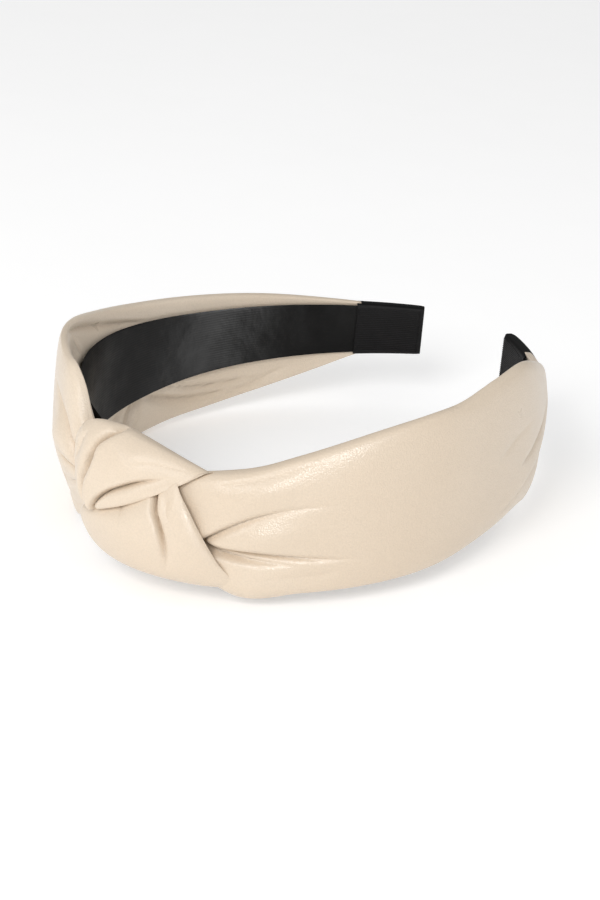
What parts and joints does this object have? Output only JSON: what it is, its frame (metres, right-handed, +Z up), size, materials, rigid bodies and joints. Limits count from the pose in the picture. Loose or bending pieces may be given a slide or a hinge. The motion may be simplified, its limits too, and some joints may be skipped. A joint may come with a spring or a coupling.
{
  "type": "knotted headband",
  "caption": "Springy knotted headband: a hard inner hoop wrapped in padded cream faux leather, with a front knot, satin lining and ribbon tips.",
  "frame": {"origin": "centre of the outline on the surface it lies on, the hoop on its side", "axes": "+Z up across the band's width, +Y from the knot towards the tips, +X towards the right arm"},
  "size_m": [0.1234, 0.1678, 0.05],
  "materials": {
    "cover": "cream faux leather, fine grain, soft sheen",
    "knot": "cream faux leather, fine grain, soft sheen",
    "lining": "black satin ribbon",
    "sleeve": "black ribbed ribbon",
    "core": "moulded plastic",
    "foam": "soft foam sheet"
  },
  "bodies": {
    "crown": {"core_hoop": "core", "lining_ribbon": "lining", "knot_loop_upper": "knot", "knot_loop_lower": "knot"},
    "left_arm": {"cover_left": "cover", "foam_left": "foam", "end_sleeve_left": "sleeve"},
    "right_arm": {"cover_right": "cover", "foam_right": "foam", "end_sleeve_right": "sleeve"}
  },
  "joints": [
    {"name": "left_arm_flex", "type": "hinge", "parent": "crown", "child": "left_arm", "pos_m": [-0.02958, -0.06348, 0.025], "axis": [0, 0, 1], "range_deg": [0, 15], "stiffness_Nm_per_rad": 0.7, "deforming": ["core_hoop", "lining_ribbon"]},
    {"name": "right_arm_flex", "type": "hinge", "parent": "crown", "child": "right_arm", "pos_m": [0.02958, -0.06348, 0.025], "axis": [0, 0, -1], "range_deg": [0, 15], "stiffness_Nm_per_rad": 0.7, "deforming": ["core_hoop", "lining_ribbon"]}
  ]
}
